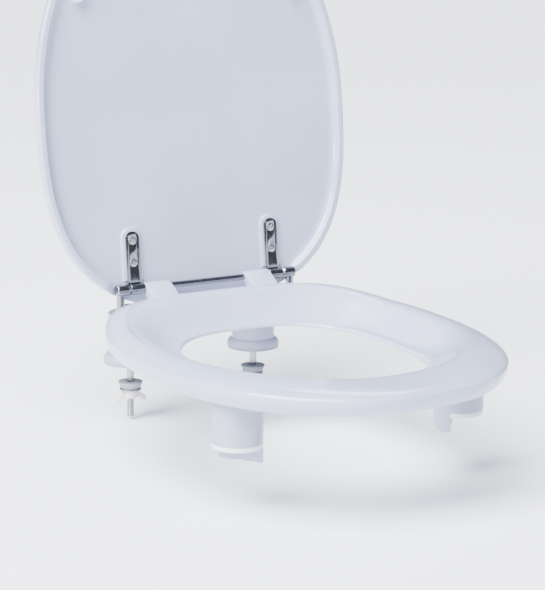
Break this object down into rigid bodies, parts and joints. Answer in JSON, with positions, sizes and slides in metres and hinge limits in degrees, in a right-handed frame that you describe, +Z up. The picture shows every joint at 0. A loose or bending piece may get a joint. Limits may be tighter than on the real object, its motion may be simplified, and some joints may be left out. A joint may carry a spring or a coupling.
{
  "type": "raised toilet seat",
  "caption": "Raised toilet seat: an oval ring on tall stepped front buffers and rear posts, with a hinged lid on a steel rod hinge.",
  "frame": {"origin": "midway between the two fixing bolts, on the plane of the bowl rim", "axes": "+Z up, -Y towards the front of the seat, +X to the right seen from the front"},
  "size_m": [0.3742, 0.5102, 0.5949],
  "materials": {
    "thermoset_white": "glossy compression moulded",
    "moulded_white": "satin injection moulded",
    "stainless": "polished",
    "screw_steel": "plain",
    "nylon": "moulded",
    "rubber_grey": "moulded",
    "rubber_white": "moulded"
  },
  "bodies": {
    "mounting": {"rear_post_left": "moulded_white", "rear_post_right": "moulded_white", "rear_foot_left": "moulded_white", "rear_foot_right": "moulded_white", "rear_gasket_left": "rubber_grey", "rear_gasket_right": "rubber_grey", "hinge_pillar_left": "stainless", "hinge_pillar_right": "stainless", "pillar_screw_left": "screw_steel", "pillar_screw_right": "screw_steel", "fixing_bolt_left": "screw_steel", "fixing_bolt_right": "screw_steel", "cone_washer_left": "rubber_grey", "cone_washer_right": "rubber_grey", "steel_washer_left": "screw_steel", "steel_washer_right": "screw_steel", "hinge_rod": "stainless"},
    "seat": {"seat_ring": "thermoset_white", "seat_lug_left": "thermoset_white", "seat_lug_right": "thermoset_white", "seat_bush_left": "nylon", "seat_bush_right": "nylon", "front_buffer_screw_left": "screw_steel", "front_buffer_screw_right": "screw_steel"},
    "lid": {"lid": "thermoset_white", "lid_arm_left": "stainless", "lid_arm_right": "stainless", "arm_pad_left": "moulded_white", "arm_pad_right": "moulded_white", "lid_arm_screws_left": "screw_steel", "lid_arm_screws_right": "screw_steel", "lid_bush_left": "nylon", "lid_bush_right": "nylon", "lid_buffer_left": "rubber_white", "lid_buffer_right": "rubber_white"},
    "buffer_left": {"front_buffer_left": "moulded_white", "front_pad_left": "rubber_white"},
    "buffer_right": {"front_buffer_right": "moulded_white", "front_pad_right": "rubber_white"},
    "wing_nut_left": {"wing_nut_left": "nylon"},
    "wing_nut_right": {"wing_nut_right": "nylon"}
  },
  "joints": [
    {"name": "seat_hinge", "type": "hinge", "parent": "mounting", "child": "seat", "pos_m": [0, -0.034, 0.09], "axis": [-1, 0, 0], "range_deg": [0, 97.5]},
    {"name": "lid_hinge", "type": "hinge", "parent": "mounting", "child": "lid", "pos_m": [0, -0.034, 0.09], "axis": [-1, 0, 0], "range_deg": [-98.9, 0]},
    {"name": "buffer_left_swivel", "type": "hinge", "parent": "seat", "child": "buffer_left", "pos_m": [-0.12826, -0.33785, 0.03], "axis": [0, 0, 1], "range_deg": [-25, 25]},
    {"name": "buffer_right_swivel", "type": "hinge", "parent": "seat", "child": "buffer_right", "pos_m": [0.12826, -0.33785, 0.03], "axis": [0, 0, 1], "range_deg": [-25, 25]},
    {"name": "wing_nut_left_spin", "type": "hinge", "parent": "mounting", "child": "wing_nut_left", "pos_m": [-0.0775, 0, -0.036], "axis": [0, 0, 1], "continuous": true},
    {"name": "wing_nut_right_spin", "type": "hinge", "parent": "mounting", "child": "wing_nut_right", "pos_m": [0.0775, 0, -0.036], "axis": [0, 0, 1], "continuous": true}
  ]
}
